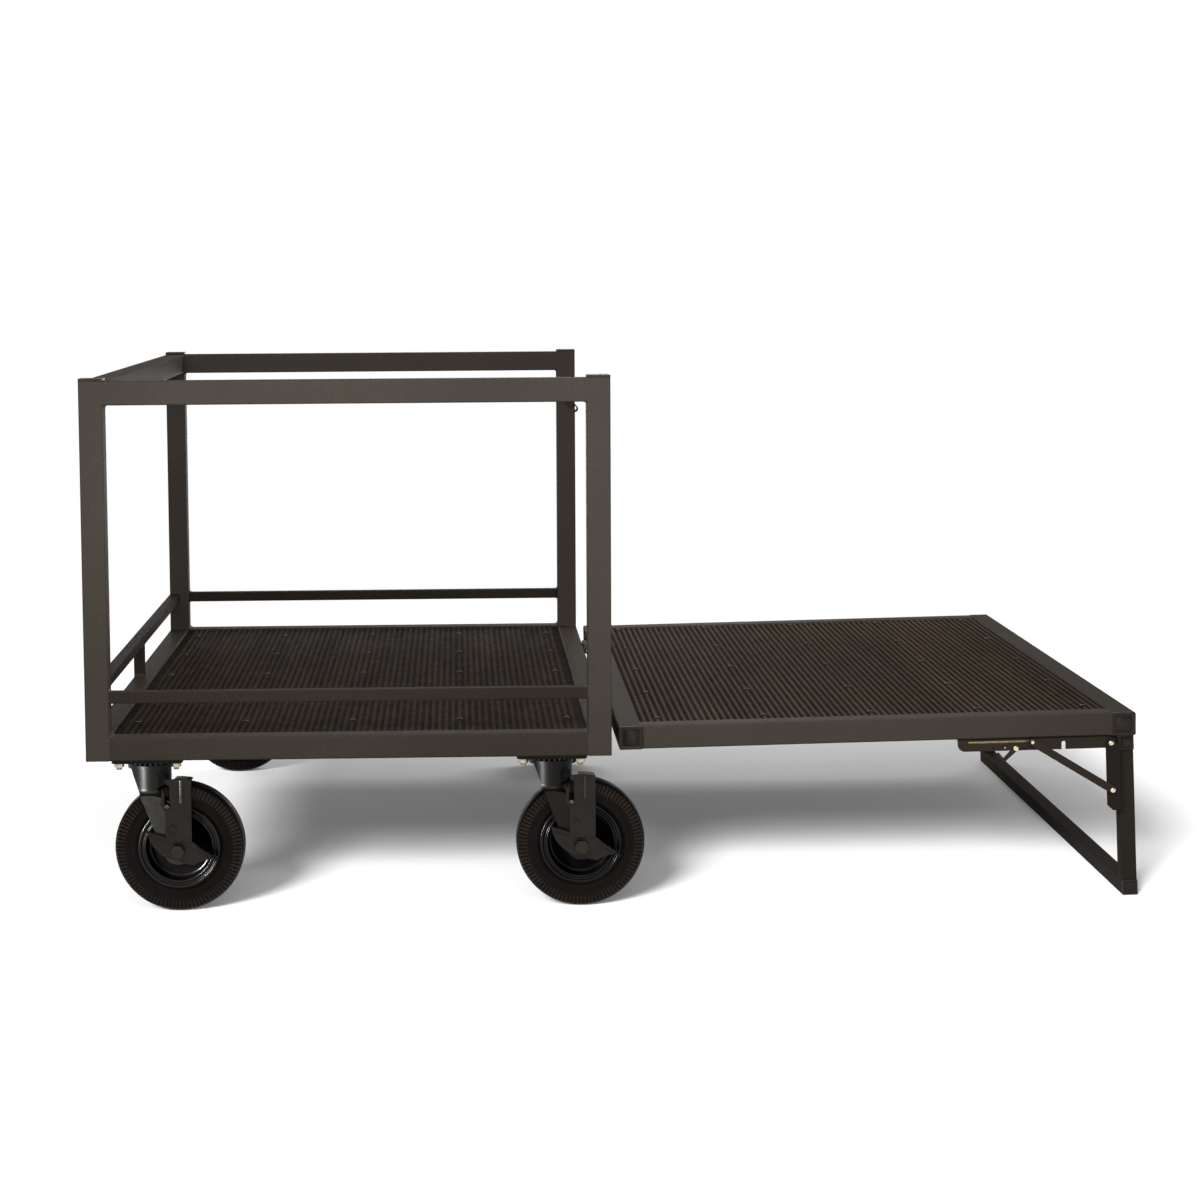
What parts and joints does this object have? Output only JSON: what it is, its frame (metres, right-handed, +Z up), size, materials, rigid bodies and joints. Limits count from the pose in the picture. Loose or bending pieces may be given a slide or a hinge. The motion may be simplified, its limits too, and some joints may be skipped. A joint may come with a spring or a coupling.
{
  "type": "drum kit cart",
  "caption": "Welded tube cage cart on braked swivel casters with ribbed decks and a hinged side platform that stands on a self-locking folding leg.",
  "frame": {"origin": "on the floor under the middle of the object's box at rest, platform down", "axes": "+X along the cart towards the folding platform, +Y to the rear, +Z up"},
  "size_m": [1.716, 1.2192, 0.8685],
  "materials": {
    "frame_paint": "satin powder coat, warm dark grey",
    "hardware_black": "satin black coat",
    "plug_plastic": "moulded, matt",
    "deck_mat": "ribbed, matt",
    "screw_black": "black oxide",
    "zinc": "zinc plated",
    "rivet_steel": "pale yellowish plating",
    "stud_brass": "dull reddish brown",
    "caster_black": "gloss black coat",
    "tyre_rubber": "matt, moulded"
  },
  "bodies": {
    "cart": {"corner_posts": "frame_paint", "post_caps": "plug_plastic", "top_rails": "frame_paint", "base_rails": "frame_paint", "guard_rails": "frame_paint", "cart_deck": "deck_mat", "cart_bearers": "frame_paint", "cart_deck_screws": "screw_black", "caster_pads": "frame_paint", "caster_plates": "caster_black", "caster_bolts": "zinc", "cart_knuckles": "hardware_black", "hinge_pins": "zinc", "catch_pivot": "zinc"},
    "catch": {"catch_hook": "hardware_black"},
    "platform": {"platform_side_rails": "frame_paint", "platform_cross_rails": "frame_paint", "platform_end_caps": "plug_plastic", "platform_deck": "deck_mat", "platform_bearers": "frame_paint", "platform_deck_screws": "screw_black", "platform_knuckles": "hardware_black", "leg_brackets": "hardware_black", "bracket_rivets": "rivet_steel", "platform_studs": "stud_brass"},
    "leg": {"leg_cross_tubes": "frame_paint", "leg_uprights": "frame_paint", "leg_end_caps": "plug_plastic", "leg_arms": "hardware_black", "crank_rivets": "rivet_steel"},
    "link_front": {"link_front": "hardware_black"},
    "slider_front": {"slide_pin_front": "zinc"},
    "latch_front": {"latch_lever_front": "hardware_black"},
    "link_rear": {"link_rear": "hardware_black"},
    "slider_rear": {"slide_pin_rear": "zinc"},
    "latch_rear": {"latch_lever_rear": "hardware_black"},
    "swivel_front_left": {"fork_front_left": "caster_black", "axle_front_left": "caster_black"},
    "wheel_front_left": {"rim_front_left": "caster_black", "tyre_front_left": "tyre_rubber"},
    "lever_front_left": {"brake_lever_front_left": "caster_black"},
    "strap_front_left": {"brake_strap_front_left": "caster_black"},
    "swivel_front_right": {"fork_front_right": "caster_black", "axle_front_right": "caster_black"},
    "wheel_front_right": {"rim_front_right": "caster_black", "tyre_front_right": "tyre_rubber"},
    "lever_front_right": {"brake_lever_front_right": "caster_black"},
    "strap_front_right": {"brake_strap_front_right": "caster_black"},
    "swivel_rear_left": {"fork_rear_left": "caster_black", "axle_rear_left": "caster_black"},
    "wheel_rear_left": {"rim_rear_left": "caster_black", "tyre_rear_left": "tyre_rubber"},
    "lever_rear_left": {"brake_lever_rear_left": "caster_black"},
    "strap_rear_left": {"brake_strap_rear_left": "caster_black"},
    "swivel_rear_right": {"fork_rear_right": "caster_black", "axle_rear_right": "caster_black"},
    "wheel_rear_right": {"rim_rear_right": "caster_black", "tyre_rear_right": "tyre_rubber"},
    "lever_rear_right": {"brake_lever_rear_right": "caster_black"},
    "strap_rear_right": {"brake_strap_rear_right": "caster_black"}
  },
  "joints": [
    {"name": "platform_fold", "type": "hinge", "parent": "cart", "child": "platform", "pos_m": [-0.0069, 0, 0.2891], "axis": [0, -1, 0], "range_deg": [0, 89]},
    {"name": "leg_fold", "type": "hinge", "parent": "platform", "child": "leg", "pos_m": [0.8089, 0, 0.25593], "axis": [0, 1, 0], "range_deg": [0, 91.3]},
    {"name": "catch_swing", "type": "hinge", "parent": "cart", "child": "catch", "pos_m": [-0.0429, 0.5715, 0.7784], "axis": [0, -1, 0], "range_deg": [-40, 80]},
    {"name": "link_turn_front", "type": "hinge", "parent": "leg", "child": "link_front", "pos_m": [0.81203, -0.5645, 0.17819], "axis": [0, 1, 0], "range_deg": [-121.69, 0]},
    {"name": "pin_slide_front", "type": "slide", "parent": "platform", "child": "slider_front", "axis": [-0.9998, 0, -0.0175], "range_m": [0, 0.10361]},
    {"name": "latch_press_front", "type": "hinge", "parent": "platform", "child": "latch_front", "pos_m": [0.65201, -0.5645, 0.24859], "axis": [0, 1, 0], "range_deg": [0, 20], "stiffness_Nm_per_rad": 0.05},
    {"name": "link_turn_rear", "type": "hinge", "parent": "leg", "child": "link_rear", "pos_m": [0.81203, 0.5645, 0.17819], "axis": [0, 1, 0], "range_deg": [-121.69, 0]},
    {"name": "pin_slide_rear", "type": "slide", "parent": "platform", "child": "slider_rear", "axis": [-0.9998, 0, -0.0175], "range_m": [0, 0.10361]},
    {"name": "latch_press_rear", "type": "hinge", "parent": "platform", "child": "latch_rear", "pos_m": [0.65201, 0.5645, 0.24859], "axis": [0, 1, 0], "range_deg": [0, 20], "stiffness_Nm_per_rad": 0.05},
    {"name": "swivel_front_left", "type": "hinge", "parent": "cart", "child": "swivel_front_left", "pos_m": [-0.762, -0.5516, 0.255], "axis": [0, 0, 1], "continuous": true},
    {"name": "wheel_front_left", "type": "hinge", "parent": "swivel_front_left", "child": "wheel_front_left", "pos_m": [-0.715, -0.5516, 0.105], "axis": [0, 1, 0], "continuous": true},
    {"name": "brake_lever_front_left", "type": "hinge", "parent": "swivel_front_left", "child": "lever_front_left", "pos_m": [-0.715, -0.5516, 0.105], "axis": [0, -1, 0], "range_deg": [0, 21]},
    {"name": "brake_strap_front_left", "type": "slide", "parent": "swivel_front_left", "child": "strap_front_left", "axis": [0, 0, -1], "range_m": [0, 0.00502]},
    {"name": "swivel_front_right", "type": "hinge", "parent": "cart", "child": "swivel_front_right", "pos_m": [-0.11, -0.5516, 0.255], "axis": [0, 0, 1], "continuous": true},
    {"name": "wheel_front_right", "type": "hinge", "parent": "swivel_front_right", "child": "wheel_front_right", "pos_m": [-0.063, -0.5516, 0.105], "axis": [0, 1, 0], "continuous": true},
    {"name": "brake_lever_front_right", "type": "hinge", "parent": "swivel_front_right", "child": "lever_front_right", "pos_m": [-0.063, -0.5516, 0.105], "axis": [0, -1, 0], "range_deg": [0, 21]},
    {"name": "brake_strap_front_right", "type": "slide", "parent": "swivel_front_right", "child": "strap_front_right", "axis": [0, 0, -1], "range_m": [0, 0.00502]},
    {"name": "swivel_rear_left", "type": "hinge", "parent": "cart", "child": "swivel_rear_left", "pos_m": [-0.762, 0.5516, 0.255], "axis": [0, 0, 1], "continuous": true},
    {"name": "wheel_rear_left", "type": "hinge", "parent": "swivel_rear_left", "child": "wheel_rear_left", "pos_m": [-0.715, 0.5516, 0.105], "axis": [0, 1, 0], "continuous": true},
    {"name": "brake_lever_rear_left", "type": "hinge", "parent": "swivel_rear_left", "child": "lever_rear_left", "pos_m": [-0.715, 0.5516, 0.105], "axis": [0, -1, 0], "range_deg": [0, 21]},
    {"name": "brake_strap_rear_left", "type": "slide", "parent": "swivel_rear_left", "child": "strap_rear_left", "axis": [0, 0, -1], "range_m": [0, 0.00502]},
    {"name": "swivel_rear_right", "type": "hinge", "parent": "cart", "child": "swivel_rear_right", "pos_m": [-0.11, 0.5516, 0.255], "axis": [0, 0, 1], "continuous": true},
    {"name": "wheel_rear_right", "type": "hinge", "parent": "swivel_rear_right", "child": "wheel_rear_right", "pos_m": [-0.063, 0.5516, 0.105], "axis": [0, 1, 0], "continuous": true},
    {"name": "brake_lever_rear_right", "type": "hinge", "parent": "swivel_rear_right", "child": "lever_rear_right", "pos_m": [-0.063, 0.5516, 0.105], "axis": [0, -1, 0], "range_deg": [0, 21]},
    {"name": "brake_strap_rear_right", "type": "slide", "parent": "swivel_rear_right", "child": "strap_rear_right", "axis": [0, 0, -1], "range_m": [0, 0.00502]}
  ],
  "couplings": [
    {"joint": "link_turn_front", "follows": "leg_fold", "ratio": -1.3306},
    {"joint": "pin_slide_front", "follows": "leg_fold", "m_per_rad": 0.064991},
    {"joint": "link_turn_rear", "follows": "leg_fold", "ratio": -1.3306},
    {"joint": "pin_slide_rear", "follows": "leg_fold", "m_per_rad": 0.064991},
    {"joint": "brake_strap_front_left", "follows": "brake_lever_front_left", "m_per_rad": 0.013642},
    {"joint": "brake_strap_front_right", "follows": "brake_lever_front_right", "m_per_rad": 0.013642},
    {"joint": "brake_strap_rear_left", "follows": "brake_lever_rear_left", "m_per_rad": 0.013642},
    {"joint": "brake_strap_rear_right", "follows": "brake_lever_rear_right", "m_per_rad": 0.013642}
  ]
}
